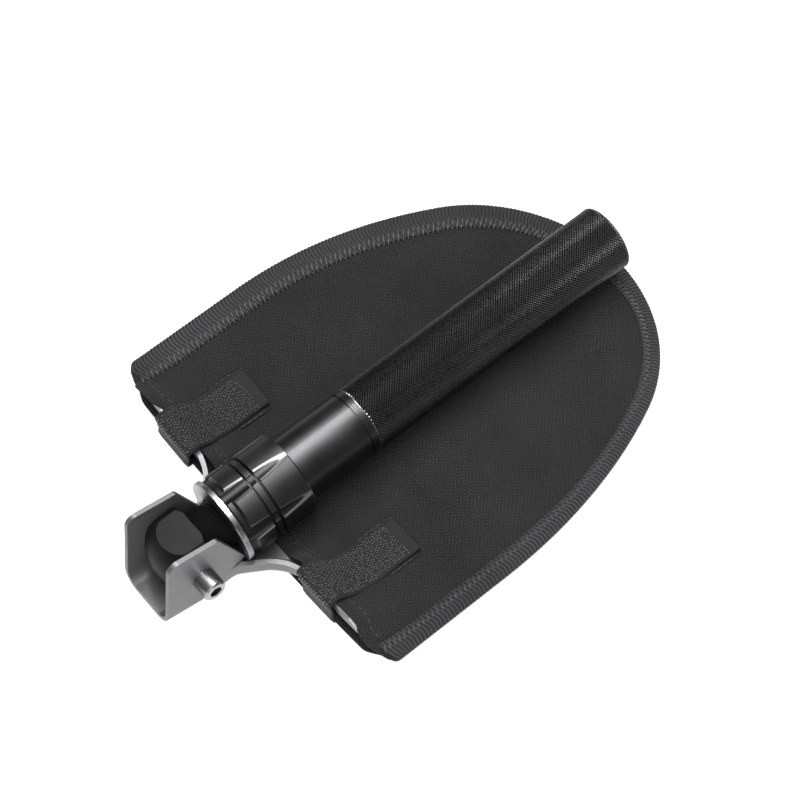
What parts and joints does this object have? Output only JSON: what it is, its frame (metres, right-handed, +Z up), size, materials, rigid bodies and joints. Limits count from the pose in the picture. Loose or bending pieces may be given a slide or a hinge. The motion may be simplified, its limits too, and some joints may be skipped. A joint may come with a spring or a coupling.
{
  "type": "folding camp shovel",
  "caption": "Folding camp shovel in its folded state: pressed steel blade in a strapped fabric sheath, screw-collar hinge lock and round knurled grip tube.",
  "frame": {"origin": "middle of the whole object's plan box, on the sheath's underside", "axes": "+X along the grip tube from the hinge to its end, +Y to the nut side of the hinge pin, +Z up from the sheath to the tube"},
  "size_m": [0.254, 0.181, 0.0462],
  "materials": {
    "blade_paint": "satin grey coating on pressed steel",
    "screw_chrome": "polished plating",
    "nut_steel": "zinc plated",
    "washer_steel": "turned, satin",
    "collar_black": "satin black anodised, bare along the flutes' bevels",
    "knuckle_black": "matte black",
    "ferrule_black": "satin black anodised",
    "tube_black": "satin black, fine diamond knurl",
    "bush_bronze": "plain bearing",
    "shim_steel": "rolled",
    "insert_nylon": "nylon",
    "ring_rubber": "matte",
    "cap_black": "moulded",
    "panel_nylon": "woven nylon",
    "tape_nylon": "ribbed tape, stitched",
    "strap_webbing": "hook-and-loop webbing"
  },
  "bodies": {
    "blade_body": {"blade": "blade_paint", "pivot_screw": "screw_chrome", "pivot_nut": "nut_steel", "nut_insert": "insert_nylon", "nut_washer": "nut_steel", "side_shims": "shim_steel", "sheath_top_panel": "panel_nylon", "sheath_bottom_panel": "panel_nylon", "sheath_binding": "tape_nylon", "mouth_hem": "panel_nylon", "strap_near": "strap_webbing", "strap_far": "strap_webbing", "strap_patches": "strap_webbing"},
    "handle_body": {"pivot_bush": "bush_bronze", "knuckle": "knuckle_black", "ferrule": "ferrule_black", "ferrule_pin": "nut_steel", "ferrule_ring": "ring_rubber", "handle_tube": "tube_black"},
    "washer_body": {"lock_washer": "washer_steel"},
    "collar_body": {"lock_collar": "collar_black"},
    "ring_body": {"end_cap_ring": "ring_rubber"},
    "cap_body": {"end_cap": "cap_black"}
  },
  "joints": [
    {"name": "handle_fold", "type": "hinge", "parent": "blade_body", "child": "handle_body", "pos_m": [-0.10598, 0, 0.0234], "axis": [0, -1, 0], "range_deg": [0, 168]},
    {"name": "lock_slide", "type": "slide", "parent": "handle_body", "child": "washer_body", "axis": [1, 0, 0], "range_m": [0, 0.0101]},
    {"name": "collar_turn", "type": "hinge", "parent": "washer_body", "child": "collar_body", "pos_m": [-0.10598, 0, 0.0234], "axis": [1, 0, 0], "range_deg": [0, 2400]},
    {"name": "cap_out", "type": "slide", "parent": "handle_body", "child": "ring_body", "axis": [1, 0, 0], "range_m": [0, 0.012]},
    {"name": "cap_turn", "type": "hinge", "parent": "ring_body", "child": "cap_body", "pos_m": [-0.10598, 0, 0.0234], "axis": [1, 0, 0], "range_deg": [0, 2900]}
  ],
  "couplings": [
    {"joint": "lock_slide", "follows": "handle_fold", "m_per_rad": 0.003375},
    {"joint": "collar_turn", "follows": "handle_fold", "ratio": 14.137},
    {"joint": "cap_turn", "follows": "cap_out", "rad_per_m": 4188.8}
  ]
}
